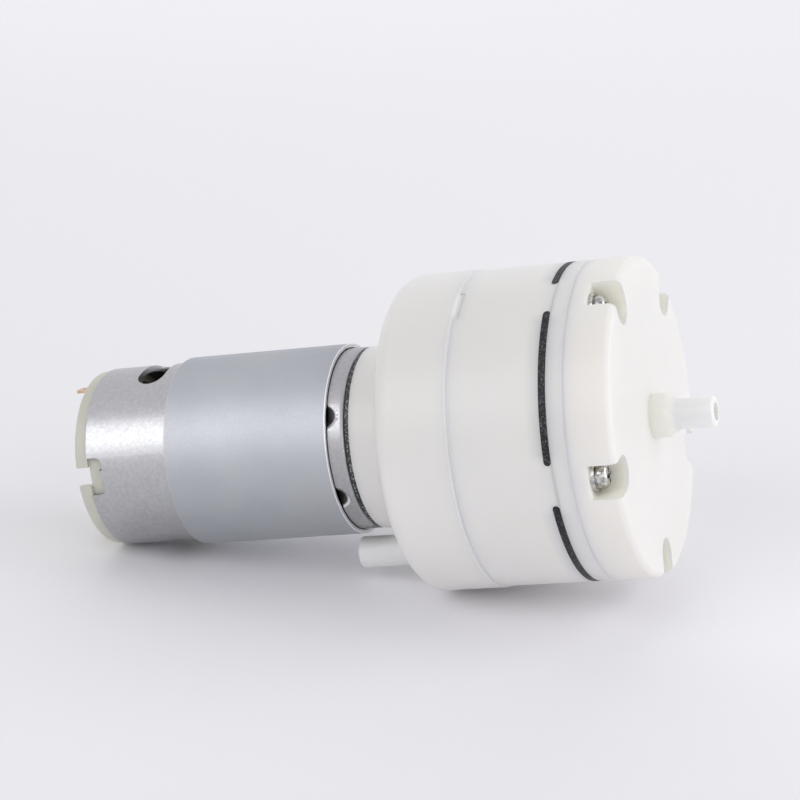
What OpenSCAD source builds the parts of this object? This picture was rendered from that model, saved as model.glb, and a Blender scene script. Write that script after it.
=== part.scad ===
// Micro vacuum pump: a five-chamber diaphragm head driven by a brushed DC motor through a wobble plate.
// Row frame: +X runs along the shaft and out through the front port, +Z is up, and the rear port is
// at the bottom. The origin is on the shaft axis, in the middle of the motor's flux ring.
// Each piece is drawn on a standing axis, where z is the row's X and angle 0 is the row's -Z.
// All sizes are in millimetres and all angles in degrees.

/* [Pump head] */
// Outer diameter of the head, from the cover to the crankcase
head_d = 61.5; // [60.5:0.5:64]
// Thickness of the head cover, without its port
cover_len = 8.9; // [8.5:0.1:10]
// Radius of the round on the cover's front edge
cover_edge_r = 1.4; // [0.6:0.1:2]
// Wall between the cover's front face and its air spaces
cover_wall = 3; // [2.4:0.1:3.4]
// Thickness of the valve plate
valve_plate_len = 3.3; // [3:0.1:4]
// Thickness of the rubber diaphragm's flange
flange_t = 1.4; // [1.2:0.1:1.8]
// Length of the chamber body, from the diaphragm to the crankcase
chamber_len = 17.8; // [17.4:0.1:20]
// Depth of the deck that holds the chamber bores
deck_len = 7; // [6.4:0.1:7.2]
// Length of the crankcase drum
crankcase_len = 15.4; // [14.8:0.1:18]
// Radius of the round on the crankcase's rear edge
drum_edge_r = 4; // [2:0.5:4.5]
// Wall of the chamber body and the crankcase
drum_wall = 2.6; // [2.2:0.1:3]
// How far the crankcase stands out from the chamber body at their seam
drum_step = 0.2; // [0.15:0.05:0.4]
// Radius of the round on the crankcase's edge at that seam
seam_round = 0.15; // [0.1:0.05:0.15]
// Width of the key that sets the chamber body on the crankcase
key_w = 7; // [4:0.5:9]
// Height of that key
key_h = 1; // [0.6:0.1:1.5]
// Outer diameter of the neck that joins the crankcase to the motor
neck_d = 35.9; // [35:0.1:36.6]
// Length of the neck
neck_len = 8.8; // [8.4:0.1:10]
// Thickness of the neck's floor, which the motor is screwed to
neck_floor = 3; // [2.4:0.1:3.2]
// Bore of the neck
neck_bore = 31.6; // [31:0.2:32.4]

/* [Head screws] */
// Number of head screws, which is also the number of chambers
screw_count = 5; // [5]
// Distance from the head's rim to a head screw's axis
screw_inset = 3.95; // [3.6:0.05:4.1]
// Diameter of a head screw
screw_d = 3; // [2.8:0.1:3]
// Diameter of a head screw's head
screw_head_d = 5.1; // [5:0.1:5.8]
// Height of a head screw's head
screw_head_h = 2.1; // [2:0.1:3.2]
// Length of a head screw under its head
screw_len = 35; // [33:0.5:36.5]
// Diameter of the washer under a head screw
washer_d = 6.2; // [6:0.1:6.4]
// Thickness of that washer
washer_t = 0.8; // [0.5:0.1:1]
// Width of the pocket that sinks a screw in the cover
pocket_w = 6.8; // [6.7:0.1:7.6]
// Depth of the pocket below the cover's front face
pocket_depth = 5.7; // [5:0.1:6]
// Angle of the plastic land beside each screw that parts the rubber flange
land_angle = 17.5; // [16:0.5:20]

/* [Ports] */
// Diameter of the front port's collar
collar_d = 8.6; // [8:0.1:10]
// Length of the collar
collar_len = 2.6; // [2:0.1:4]
// Length of the cone between the collar and the tip
shoulder_len = 2.6; // [1.5:0.1:3]
// Diameter of the front port's tip
tip_d = 5.9; // [5:0.1:6.4]
// Length of the front port's tip
tip_len = 6.9; // [5:0.1:9]
// Diameter of the rear port
rear_port_d = 6.2; // [5.4:0.1:6.4]
// Length of the rear port behind the crankcase
rear_port_len = 15; // [10:0.1:16]
// Gap between the neck and the rear port
rear_port_gap = 1.55; // [1.2:0.05:1.9]
// Bore of both ports
port_bore = 3.5; // [2.5:0.1:4]
// Round on the ends of the ports
port_edge_r = 0.6; // [0.3:0.1:0.8]

/* [Chambers] */
// Distance from the shaft axis to the middle of a chamber
cup_circle_r = 16.5; // [16.3:0.1:16.8]
// Diameter of a chamber bore
cup_bore = 16.2; // [16:0.1:16.4]
// Wall of a rubber cup
cup_wall = 1; // [0.8:0.1:1.1]
// Depth of a rubber cup below the flange
cup_depth = 4.9; // [4.4:0.1:5.2]
// Thickness of the membrane round each piston
membrane_t = 0.8; // [0.6:0.1:1]
// Diameter of the piston moulded in the middle of each cup
piston_d = 11.2; // [10:0.1:11.4]
// Diameter of the transfer holes from the crankcase to the cover
transfer_d = 3; // [2.4:0.1:3.2]

/* [Valves and seals] */
// Diameter of an inlet umbrella valve
inlet_valve_d = 6.6; // [6:0.1:6.8]
// Thickness of the valves' rims
valve_t = 0.6; // [0.5:0.1:0.7]
// Diameter of an inlet valve's stem
inlet_stem_d = 1.7; // [1.4:0.1:1.9]
// Diameter of an air hole beside an inlet valve's stem
inlet_hole_d = 1.3; // [1:0.1:1.4]
// Diameter of the outlet umbrella valve
outlet_valve_d = 24.8; // [24:0.2:25.2]
// Diameter of the outlet valve's stem
outlet_stem_d = 2.8; // [2.4:0.1:3.2]
// Distance from the shaft axis to the outlet holes
outlet_hole_r = 10.8; // [10.6:0.1:11]
// Diameter of an outlet hole
outlet_hole_d = 1.6; // [1.2:0.1:1.8]
// Outer radius of the cover's middle air space
inner_space_r = 13.2; // [13:0.1:13.4]
// Inner radius of the cover's outer air space
outer_space_r0 = 15.4; // [15.2:0.1:15.6]
// Width and depth of the two seals in the cover
seal_w = 1; // [0.8:0.1:1.1]

/* [Wobble drive] */
// Tilt of the drive pin and the wobble plate
wobble_angle = 6; // [4:0.5:6]
// Distance from the chamber deck to the point that the wobble plate rocks about
pivot_drop = 2.5; // [2.3:0.1:2.8]
// Thickness of the wobble plate's arms
arm_t = 3; // [2.4:0.1:3.4]
// Width of an arm
arm_w = 6; // [4:0.5:7]
// Diameter of the pad at the end of each arm
pad_d = 9; // [8:0.1:9.2]
// Diameter of the wobble plate's hub
hub_d = 9.2; // [8.6:0.1:10]
// Length of the hub below the pivot
hub_len = 15; // [14:0.1:15.4]
// Diameter of the drive pin
pin_d = 3; // [2.6:0.1:3]
// Outer diameter of the bush in the hub
pin_bush_d = 5.2; // [4.8:0.1:5.6]
// Length of that bush
pin_bush_len = 12; // [10:0.1:12]
// Length of the drive pin below the pivot
pin_reach = 21.6; // [21:0.1:21.8]
// Diameter of the eccentric wheel
eccentric_d = 22; // [19:0.5:24]
// Length of the eccentric wheel
eccentric_len = 10.6; // [10.4:0.1:11]
// Diameter of the grub screw that holds the wheel on the shaft
grub_d = 3; // [2.5:0.1:3]
// Length of the grub screw
grub_len = 6; // [4:0.5:8]

/* [Motor] */
// Diameter of the steel can
can_d = 35.8; // [35:0.1:36]
// Wall of the can
can_wall = 1.2; // [1:0.1:1.3]
// Radius of the round on the can's front edge
can_edge_r = 1.2; // [0.6:0.1:1.3]
// Length of bare can in front of the flux ring
can_front_len = 3.7; // [3:0.1:5]
// Length of bare can behind the flux ring
can_rear_len = 17.3; // [16:0.1:19]
// Length of the flux ring
ring_len = 34; // [30:0.5:36]
// Wall of the flux ring
ring_wall = 0.9; // [0.7:0.1:1]
// Bevel inside the flux ring's front edge
ring_bevel = 0.2; // [0.15:0.05:0.4]
// Gap of the flux ring's butt seam
ring_seam = 0.35; // [0.2:0.05:0.6]
// Turn of the motor against the head
motor_clock = 8; // [0:1:12]
// Diameter of the boss on the can's front
boss_d = 13; // [12:0.1:13]
// Length of that boss
boss_len = 4.4; // [4:0.1:4.6]
// Outer diameter of the shaft bushes
bush_d = 8; // [7:0.1:8.4]
// Length of the shaft bushes
bush_len = 5; // [4:0.1:5.2]
// Diameter of the shaft
shaft_d = 3.175; // [3:0.005:3.2]
// Length of shaft that stands out of the can's front face
shaft_out = 10; // [9.6:0.1:10.2]
// Thickness of the gasket between the motor and the neck
gasket_t = 0.8; // [0.5:0.1:1]
// Diameter of the gasket
gasket_d = 35.7; // [35:0.1:35.8]
// Radius of the circle of motor screws
motor_screw_r = 12.5; // [12.3:0.1:12.5]
// Thickness of the end cap's rim
cap_rim = 2.8; // [2.4:0.1:3.4]
// Diameter of the end cap's rim
cap_d = 35; // [34.2:0.1:35.4]
// Depth of the end cap inside the can
cap_plug = 5; // [4:0.1:6]
// Width of the gap in the end cap's rim at each crimp
cap_gap = 3.8; // [3.4:0.1:5]
// Length of a side vent, round the can
vent_len = 16; // [12:0.5:17]
// Width of a side vent, along the can
vent_w = 5.6; // [4.6:0.1:6]
// Distance from the can's rear edge to the middle of the vents
vent_place = 11.3; // [11:0.1:12]
// Depth of the slots beside each crimp tab
crimp_depth = 3.1; // [2.5:0.1:3.6]
// Width of a crimp tab
crimp_tab_w = 2.3; // [1.8:0.1:2.6]
// Width of a slot beside a crimp tab
crimp_slot_w = 2.6; // [2:0.1:2.8]
// Depth of the opening between those slots
crimp_mouth = 2.2; // [1.6:0.1:2.4]
// Diameter of the dents in the can's front edge
dent_d = 6.4; // [5.6:0.1:6.6]
// Depth of those dents
dent_depth = 0.8; // [0.6:0.1:0.9]
// Distance of a dent's middle behind the flux ring's front edge
dent_place = 0.9; // [0.6:0.1:1.1]
// Half the angle between the two dents of a side
dent_angle = 27.3; // [25:0.5:30]
// Length of a terminal behind the end cap
terminal_out = 4.8; // [3:0.1:6]
// Width of a terminal
terminal_w = 2.8; // [2.4:0.1:3.2]
// Thickness of a terminal
terminal_t = 0.6; // [0.5:0.1:0.8]
// Distance from the shaft axis to a terminal
terminal_r = 14.3; // [14:0.1:14.5]

/* [Motor insides] */
// Inner radius of the magnets
magnet_r = 12.9; // [12.8:0.1:13.4]
// Distance from an end of the flux ring to the magnets
magnet_inset = 2; // [1.5:0.1:4]
// Angle that each magnet covers
magnet_angle = 128; // [110:2:136]
// Diameter of the armature
core_d = 24.8; // [24:0.1:25.2]
// Distance from an end of the flux ring to the armature's iron
core_inset = 4.5; // [4:0.1:6]
// Diameter of the armature's iron hub
core_hub_d = 9; // [8:0.1:10]
// Depth of the armature's pole rims
pole_rim = 2; // [1.6:0.1:2.4]
// Width of an armature pole's leg
pole_leg_w = 4; // [3:0.1:4.6]
// Width of the slots between the armature's poles
slot_w = 2; // [1.5:0.1:3]
// Height of the copper turns past each end of the iron
end_turn = 4; // [3:0.1:4.4]
// Diameter of the commutator
commutator_d = 8.4; // [8:0.1:9]
// Length of the commutator
commutator_len = 9; // [8:0.1:9.4]
// Wall of the commutator's copper bars
bar_wall = 1; // [0.8:0.1:1.2]
// Gap between the commutator's bars
bar_gap = 0.5; // [0.4:0.1:0.8]
// Size of a carbon brush across its arm
brush_w = 3; // [2.4:0.1:3.4]
// Height of a carbon brush, towards the commutator
brush_h = 3.6; // [3:0.1:4]

/* [Clearances] */
// Radial clearance of a shaft or pin in its bush
running_gap = 0.03; // [0.02:0.01:0.06]
// Clearance between a screw and its hole
screw_gap = 0.2; // [0.1:0.05:0.3]
// Clearance of round pieces that seat in each other
seat_gap = 0.02; // [0.01:0.01:0.04]
// Clearance between still and moving pieces that lie close
moving_gap = 0.4; // [0.3:0.05:0.5]

/* [Hidden] */
$fn = 72;
// How far a cutting solid runs past the face that it cuts
over = 1;
pitch = 360 / screw_count;
cup_angle = pitch / 2;
head_r = head_d / 2;
screw_circle_r = head_r - screw_inset;

// Stations along the shaft, from the flux ring forwards
ring_front = ring_len / 2;
motor_front = ring_front + can_front_len;
neck_back = motor_front + gasket_t;
crank_back = neck_back + neck_len;
chamber_back = crank_back + crankcase_len;
flange_back = chamber_back + chamber_len;
plate_back = flange_back + flange_t;
cover_back = plate_back + valve_plate_len;
face_z = cover_back + cover_len;
deck_back = flange_back - deck_len;
pivot_z = deck_back - pivot_drop;
pocket_z = face_z - pocket_depth;
screw_seat = pocket_z + washer_t;
neck_seat = neck_back + neck_floor;

// Stations along the shaft, from the flux ring backwards
ring_back = -ring_len / 2;
can_back = ring_back - can_rear_len;
motor_back = can_back - cap_rim;
boss_front = motor_front + boss_len;
shaft_front = motor_front + shaft_out;

// The wobble plate's own heights, from its pivot
arm_top = -0.5;
arm_bottom = arm_top - arm_t;
piston_bottom = 2.4;
piston_top = 7.2;
stem_r = 2.2;
stem_neck_r = 1.25;
stem_bead_r = 2;
stem_bead_h = 2;
pin_tip_drop = 1.2;
pin_tip_gap = 0.3;
bush_inset = 0.4;
bush_bottom = -hub_len + bush_inset;
hub_top = 0.8;

// The eccentric wheel, between the motor's boss and the hub
wheel_gap = 1.8;
grub_place = 2.2;
eccentric_back = boss_front + wheel_gap;
eccentric_front = eccentric_back + eccentric_len;
grub_z = eccentric_back + grub_place;
shaft_flat = 0.35;

can_r = can_d / 2;
can_bore_r = can_r - can_wall;
ring_inner = can_r + seat_gap;
front_wall_back = motor_front - can_wall;
cap_inner_z = can_back + cap_plug;
magnet_len = ring_len - 2 * magnet_inset;
core_len = ring_len - 2 * core_inset;
core_back = -core_len / 2;
core_front = core_len / 2;
commutator_front = core_back - end_turn - 1;
commutator_back = commutator_front - commutator_len;
brush_z = commutator_front - commutator_len / 2;
shaft_r = shaft_d / 2;
core_r = core_d / 2;
rear_boss_r = bush_d / 2 + 1.6;
rear_bush_back = motor_back + 0.8;
shaft_back = rear_bush_back + 0.2;
brush_inner = commutator_d / 2 + 0.06;
arm_leaf_t = 0.4;
arm_root = 3;
plug_wall = 1.6;
rim_wall = 1.1;
cap_floor = 1.6;
floor_back = can_back - 0.6;
tongue_push = 1;
dent_wall = 0.5;
spacer_wall = 1.6;
motor_head_r = 2.75;
motor_head_h = 1.9;
motor_thread_len = 4;

// The head
boss_r = screw_d / 2 + 2.1;
land_inner = screw_circle_r - screw_d / 2 - 1;
flange_end_r = flange_t / 2 - 0.03;
valve_recess = valve_t + 0.3;
stem_pass_r = inlet_stem_d / 2 + seat_gap;
outlet_spread = 9;
pocket_wall = 1.4;
key_angle = -2 * pitch;
rear_port_r = neck_d / 2 + rear_port_gap + rear_port_d / 2;
seal_wall = 0.45;
outer_space_r1 = screw_circle_r - screw_d / 2 - screw_gap - seal_w - 2 * seal_wall;
inner_seal_r = (inner_space_r + outer_space_r0) / 2;
outer_seal_r = outer_space_r1 + seal_wall + seal_w / 2;
// The transfer holes and the inlet valves open into the middle of the outer air space
transfer_r = (outer_space_r0 + outer_space_r1) / 2;
inlet_valve_r = transfer_r;

module on_shaft_axis() rotate([0, 90, 0]) children();

module bar(z0, z1, r) translate([0, 0, z0]) cylinder(r=r, h=z1 - z0);

module tube(z0, z1, r_out, r_in) {
    difference() {
        bar(z0, z1, r_out);
        bar(z0 - over, z1 + over, r_in);
    }
}

module polar(angle, r) rotate([0, 0, angle]) translate([r, 0, 0]) children();

module around(first=0, count=screw_count) {
    for (i = [0:count - 1]) rotate([0, 0, first + i * 360 / count]) children();
}

module motor_turn() rotate([0, 0, motor_clock]) children();

// A wedge of the given angle about the +X side, for cutting rings; r is larger than the ring's radius
module wedge(z0, z1, r, angle) translate([0, 0, z0]) linear_extrude(z1 - z0) fan(r, angle);

module fan(r, angle) {
    half = angle / 2;
    polygon([[0, 0], [r * cos(half), -r * sin(half)], [r * 1.3, 0], [r * cos(half), r * sin(half)]]);
}

// A turned solid with rounded outer edges; a round of 0 leaves that edge sharp
module rounded_bar(z0, z1, r, round_back, round_front) {
    rotate_extrude() {
        translate([0, z0 + round_back]) square([r, z1 - z0 - round_back - round_front]);
        if (round_back > 0) {
            translate([0, z0]) square([r - round_back, round_back + (z1 - z0) / 4]);
            intersection() {
                translate([r - round_back, z0 + round_back]) circle(round_back);
                translate([0, z0]) square([r, z1 - z0]);
            }
        }
        if (round_front > 0) {
            translate([0, z1 - round_front - (z1 - z0) / 4]) square([r - round_front, round_front + (z1 - z0) / 4]);
            intersection() {
                translate([r - round_front, z1 - round_front]) circle(round_front);
                translate([0, z0]) square([r, z1 - z0]);
            }
        }
    }
}

module cone(z0, z1, r0, r1) translate([0, 0, z0]) cylinder(r1=r0, r2=r1, h=z1 - z0);

// A cross recess in a screw's head, of the given length, width and depth
module cross(top, long, wide, deep) {
    for (turn = [0, 90]) rotate([0, 0, turn])
        translate([-long / 2, -wide / 2, top - deep]) cube([long, wide, deep + over]);
}

// The frame of the wobble plate, tilted about its pivot
module wobbling() translate([0, 0, pivot_z]) rotate([0, wobble_angle, 0]) children();

module screw_holes(z0, z1, r) around() polar(0, screw_circle_r) bar(z0, z1, r);

module transfer_holes(z0, z1) around() polar(0, transfer_r) bar(z0, z1, transfer_d / 2);

// The motor's steel can, drawn in one piece with its front face and boss
module motor_can() {
    color([0.78, 0.79, 0.80]) motor_turn() difference() {
        union() {
            rounded_bar(can_back, motor_front, can_r, 0, can_edge_r);
            bar(front_wall_back, boss_front, boss_d / 2);
        }
        difference() {
            bar(can_back - over, front_wall_back, can_bore_r);
            around(90, 2) crimp_tongue(0);
            around(90, 2) for (side = [-1, 1]) rotate([0, 0, side * dent_angle]) dent(dent_wall);
        }
        bar(front_wall_back - over, boss_front + over, bush_d / 2 + seat_gap);
        around(90, 2) for (side = [-1, 1]) crimp_slot(side);
        around(90, 2) crimp_opening();
        around(0, 2) side_vent();
        around(90, 2) for (side = [-1, 1]) rotate([0, 0, side * dent_angle]) dent(0);
        around(90, 2) polar(0, motor_screw_r)
            bar(front_wall_back - over, motor_front + over, screw_d / 2 + seat_gap);
    }
}

// The tongue of the can's wall that is bent in to hold the end cap; its shape is drawn from the side
module crimp_tongue(gap) {
    root = can_back + crimp_depth;
    tip = can_back + crimp_mouth - gap;
    w = crimp_tab_w + 2 * gap;
    translate([0, w / 2, 0]) rotate([90, 0, 0]) linear_extrude(w)
        polygon([[can_r + over, root + gap], [can_r - tongue_push + gap, tip], [can_bore_r - tongue_push - gap, tip],
            [can_bore_r - gap, root + gap], [can_bore_r + can_wall / 2, root + over]]);
}

module crimp_slot(side) {
    across = side * (crimp_tab_w + crimp_slot_w) / 2;
    slot_end = can_back + crimp_depth - crimp_slot_w / 2;
    reach = can_r + over - can_bore_r + plug_wall;
    translate([can_bore_r - plug_wall, across, 0]) {
        translate([0, 0, slot_end]) rotate([0, 90, 0]) cylinder(d=crimp_slot_w, h=reach);
        translate([0, -crimp_slot_w / 2, can_back - over]) cube([reach, crimp_slot_w, slot_end - can_back + over]);
    }
}

// The opening between the two slots, down to the bent tongue
module crimp_opening() {
    mouth_w = crimp_tab_w + crimp_slot_w;
    difference() {
        translate([can_bore_r - plug_wall, -mouth_w / 2, can_back - over])
            cube([can_r + over - can_bore_r + plug_wall, mouth_w, crimp_depth + over]);
        crimp_tongue(0);
    }
}

module side_vent() {
    straight = vent_len - vent_w;
    inner = sqrt(pow(can_bore_r, 2) - pow(vent_len / 2, 2)) - over;
    reach = can_r + over - inner;
    translate([inner, 0, can_back + vent_place]) rotate([0, 90, 0]) {
        for (side = [-1, 1]) translate([0, side * straight / 2, 0]) cylinder(d=vent_w, h=reach);
        translate([-vent_w / 2, -straight / 2, 0]) cube([vent_w, straight, reach]);
    }
}

// A round dent punched at the ring's front edge; with a wall given, it is the bulge that it leaves inside
module dent(wall) {
    ball_r = (pow(dent_d / 2, 2) + pow(dent_depth, 2)) / (2 * dent_depth);
    polar(0, can_r + ball_r - dent_depth) translate([0, 0, ring_front - dent_place]) sphere(ball_r + wall);
}

module flux_ring() {
    color([0.69, 0.71, 0.74]) motor_turn() difference() {
        tube(ring_back, ring_front, ring_inner + ring_wall, ring_inner);
        cone(ring_front - ring_bevel - over, ring_front + over, ring_inner - over, ring_inner + ring_bevel + over);
        translate([-can_r - ring_wall - over, -ring_seam / 2, ring_back - over])
            cube([ring_wall + 3 * over, ring_seam, ring_len + 2 * over]);
    }
}

module magnets() {
    color([0.24, 0.23, 0.24]) motor_turn() around(90, 2) intersection() {
        tube(-magnet_len / 2, magnet_len / 2, can_bore_r - seat_gap, magnet_r);
        wedge(-magnet_len / 2 - over, magnet_len / 2 + over, can_r, magnet_angle);
    }
}

// Two bent strips of spring steel that push the magnets apart
module magnet_clips() {
    strip = 0.5;
    reach = magnet_r + 0.3;
    tip = reach * tan(90 - magnet_angle / 2) - seat_gap;
    back_x = sqrt(pow(can_bore_r - seat_gap, 2) - pow(tip / 2, 2));
    color([0.62, 0.64, 0.67]) motor_turn() around(0, 2)
        translate([0, 0, -magnet_len / 2]) linear_extrude(magnet_len) union() {
            translate([back_x - strip, -tip / 2]) square([strip, tip]);
            for (side = [-1, 1])
                polygon([[back_x - strip, side * (tip / 2 - strip)], [back_x - strip, side * tip / 2],
                    [reach, side * tip], [reach, side * (tip - strip)]]);
        }
}

// The plastic end cap: rim, plug and the boss that holds the rear bush
module end_cap() {
    color([0.79, 0.79, 0.74]) motor_turn() difference() {
        union() {
            rounded_bar(motor_back, can_back, cap_d / 2, 0.8, 0);
            bar(can_back - 0.2, cap_inner_z, can_bore_r - seat_gap);
        }
        difference() {
            bar(motor_back - over, floor_back, can_bore_r - rim_wall);
            bar(motor_back - 2 * over, floor_back + over, rear_boss_r);
            around(0, 2) brush_post();
        }
        difference() {
            bar(floor_back + cap_floor, cap_inner_z + over, can_bore_r - plug_wall);
            bar(motor_back, rear_bush_back + bush_len, rear_boss_r);
            around(0, 2) brush_post();
        }
        around(90, 2) crimp_tongue(0.1);
        bar(rear_bush_back, cap_inner_z + over, bush_d / 2 + seat_gap);
        around(90, 2) rim_gap();
        around(0, 2) terminal_slot();
    }
}

// The plastic block that carries one terminal and its brush arm
module brush_post() {
    post_w = 7;
    post_inner = terminal_r - 1.9;
    translate([post_inner, -post_w / 2, motor_back + over])
        cube([can_bore_r - plug_wall / 2 - post_inner, post_w, cap_inner_z - motor_back]);
}

module rim_gap() {
    translate([can_bore_r - plug_wall, -cap_gap / 2, motor_back - over])
        cube([plug_wall + can_wall + over, cap_gap, cap_rim + over]);
}

module terminal_slot() {
    translate([terminal_r - terminal_t / 2 - seat_gap, -terminal_w / 2 - seat_gap, motor_back - over])
        cube([terminal_t + 2 * seat_gap, terminal_w + 2 * seat_gap, cap_inner_z - motor_back + 2 * over]);
    translate([terminal_r - terminal_t / 2 - arm_leaf_t - seat_gap, -terminal_w / 2 - seat_gap,
            cap_inner_z - arm_root - seat_gap])
        cube([arm_leaf_t + 2 * seat_gap, terminal_w + 2 * seat_gap, arm_root + over]);
}

module terminals() {
    eye_r = 0.6;
    color([0.80, 0.66, 0.36]) motor_turn() around(0, 2) difference() {
        translate([terminal_r - terminal_t / 2, -terminal_w / 2, motor_back - terminal_out])
            cube([terminal_t, terminal_w, cap_inner_z - motor_back + terminal_out]);
        translate([terminal_r - over, 0, motor_back - terminal_out + 1.4])
            rotate([0, 90, 0]) cylinder(r=eye_r, h=2 * over);
    }
}

// Each arm runs from its terminal to the brush that it presses on the commutator
module brush_arms() {
    arm_back = cap_inner_z + 0.2;
    outer = terminal_r - terminal_t / 2;
    color([0.83, 0.60, 0.35]) motor_turn() around(0, 2) union() {
        translate([outer - arm_leaf_t, -terminal_w / 2, cap_inner_z - arm_root])
            cube([arm_leaf_t, terminal_w, arm_back - cap_inner_z + arm_root + arm_leaf_t]);
        translate([brush_inner + brush_h + arm_leaf_t, -terminal_w / 2, arm_back])
            cube([outer - brush_inner - brush_h - arm_leaf_t, terminal_w, arm_leaf_t]);
        translate([brush_inner + brush_h, -terminal_w / 2, arm_back])
            cube([arm_leaf_t, terminal_w, brush_z + brush_w / 2 - arm_back]);
    }
}

module carbon_brushes() {
    color([0.16, 0.16, 0.17]) motor_turn() around(0, 2)
        translate([brush_inner, -brush_w / 2, brush_z - brush_w / 2]) cube([brush_h, brush_w, brush_w]);
}

module bush(z0) tube(z0, z0 + bush_len, bush_d / 2, shaft_r + running_gap);

module front_bush() color([0.62, 0.47, 0.30]) bush(boss_front - bush_len);

module rear_bush() color([0.62, 0.47, 0.30]) bush(rear_bush_back);

module motor_gasket() {
    color([0.10, 0.10, 0.11]) motor_turn() difference() {
        tube(motor_front, neck_back, gasket_d / 2, boss_d / 2 + seat_gap);
        around(90, 2) polar(0, motor_screw_r) bar(motor_front - over, neck_back + over, screw_d / 2 + screw_gap);
    }
}

// Two screws from inside the neck into the can's front face
module motor_screws() {
    color([0.72, 0.73, 0.74]) motor_turn() around(90, 2) polar(0, motor_screw_r) difference() {
        union() {
            bar(motor_front - motor_thread_len, neck_seat, screw_d / 2);
            rounded_bar(neck_seat, neck_seat + motor_head_h, motor_head_r, 0, 0.8);
        }
        cross(neck_seat + motor_head_h, 3.2, 0.6, 0.9);
    }
}

module shaft() {
    color([0.80, 0.81, 0.82]) difference() {
        bar(shaft_back, shaft_front, shaft_r);
        translate([shaft_r - shaft_flat, -shaft_r, eccentric_back]) cube([over, shaft_d, shaft_front]);
    }
}

// Five poles on a hub; the slots between them hold the copper
module armature_core() {
    color([0.42, 0.43, 0.45]) translate([0, 0, core_back]) linear_extrude(core_len) difference() {
        union() {
            circle(core_hub_d / 2);
            around() pole();
        }
        circle(shaft_r);
    }
}

module pole() {
    translate([core_hub_d / 2 - over, -pole_leg_w / 2])
        square([core_r - pole_rim / 2 - core_hub_d / 2 + over, pole_leg_w]);
    intersection() {
        difference() {
            circle(core_r);
            circle(core_r - pole_rim);
        }
        fan(core_d, pitch - 2 * asin(slot_w / core_d));
    }
}

// One coil round each pole's leg
module windings() {
    inner = core_hub_d / 2 + 0.4;
    coil_w = 2 * inner * tan(pitch / 2) - 0.4;
    outer = sqrt(pow(core_r - pole_rim, 2) - pow(coil_w / 2, 2)) - 0.15;
    color([0.72, 0.40, 0.20]) around() difference() {
        translate([inner, -coil_w / 2, core_back - end_turn + 0.6])
            cube([outer - inner, coil_w, core_len + 2 * end_turn - 1.2]);
        translate([inner - over, -pole_leg_w / 2 - 0.05, core_back - 0.05])
            cube([outer - inner + 2 * over, pole_leg_w + 0.1, core_len + 0.1]);
    }
}

module commutator_hub() {
    color([0.30, 0.17, 0.12]) union() {
        tube(commutator_back, commutator_front + 0.6, commutator_d / 2 - bar_wall, shaft_r);
        tube(commutator_front + 0.6, core_back, core_hub_d / 2 - 0.4, shaft_r);
    }
}

module commutator_bars() {
    color([0.80, 0.50, 0.28]) around(cup_angle) intersection() {
        tube(commutator_back, commutator_front, commutator_d / 2, commutator_d / 2 - bar_wall);
        wedge(commutator_back - over, commutator_front + over, commutator_d,
            pitch - 2 * asin(bar_gap / commutator_d));
    }
}

// Sleeves on the shaft that keep the armature between its two bushes
module shaft_spacers() {
    spacer_r = shaft_r + spacer_wall;
    front_end = boss_front - bush_len - moving_gap;
    rear_end = rear_bush_back + bush_len + moving_gap;
    color([0.20, 0.20, 0.22]) {
        tube(core_front, front_end, spacer_r, shaft_r);
        tube(rear_end, commutator_back, spacer_r, shaft_r);
    }
}

// The wheel on the shaft; its front carries the drive pin off the axis
module eccentric() {
    color([0.70, 0.71, 0.73]) difference() {
        rounded_bar(eccentric_back, eccentric_front, eccentric_d / 2, 0.4, 0.8);
        difference() {
            bar(eccentric_back - over, shaft_front, shaft_r);
            translate([shaft_r - shaft_flat, -shaft_r, eccentric_back - over]) cube([over, shaft_d, shaft_out]);
        }
        wobbling() bar(-pin_reach, 0, pin_d / 2);
        translate([0, 0, grub_z]) rotate([0, 90, 0]) cylinder(r=grub_d / 2, h=eccentric_d);
        translate([-eccentric_d, -eccentric_d, eccentric_back + eccentric_len * 0.55])
            cube([eccentric_d * 0.72, 2 * eccentric_d, eccentric_len]);
    }
}

module grub_screw() {
    socket_r = 0.8;
    color([0.15, 0.15, 0.16]) translate([shaft_r - shaft_flat, 0, grub_z]) rotate([0, 90, 0]) difference() {
        cylinder(r=grub_d / 2, h=grub_len);
        translate([0, 0, grub_len - 1.6]) cylinder(r=socket_r, h=1.6 + over, $fn=6);
    }
}

module drive_pin() {
    color([0.80, 0.81, 0.82]) wobbling() rounded_bar(-pin_reach, -pin_tip_drop, pin_d / 2, 0.2, 0.6);
}

module pin_bush() {
    color([0.62, 0.47, 0.30]) wobbling()
        tube(bush_bottom, bush_bottom + pin_bush_len, pin_bush_d / 2, pin_d / 2 + running_gap);
}

// A five-armed plate on a long hub; each arm holds the stem of one piston
module wobble_plate() {
    color([0.90, 0.88, 0.80]) wobbling() difference() {
        union() {
            bar(-hub_len, hub_top, hub_d / 2);
            translate([0, 0, arm_bottom]) linear_extrude(arm_t) union() {
                circle(hub_d / 2 + 2.4);
                around(cup_angle) {
                    polar(0, cup_circle_r) circle(pad_d / 2);
                    translate([hub_d / 2, -arm_w / 2])
                        square([cup_circle_r - stem_neck_r - over - hub_d / 2, arm_w]);
                }
            }
        }
        bar(-hub_len - over, bush_bottom + pin_bush_len, pin_bush_d / 2);
        bar(-hub_len - over, -pin_tip_drop + pin_tip_gap, pin_d / 2 + running_gap);
        around(cup_angle) polar(0, cup_circle_r) bar(arm_bottom - over, arm_top + over, stem_neck_r);
    }
}

// The rubber pistons and their stems, one in each cup
module diaphragm_pistons() {
    color([0.12, 0.12, 0.13]) wobbling() around(cup_angle) polar(0, cup_circle_r) piston();
}

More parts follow.
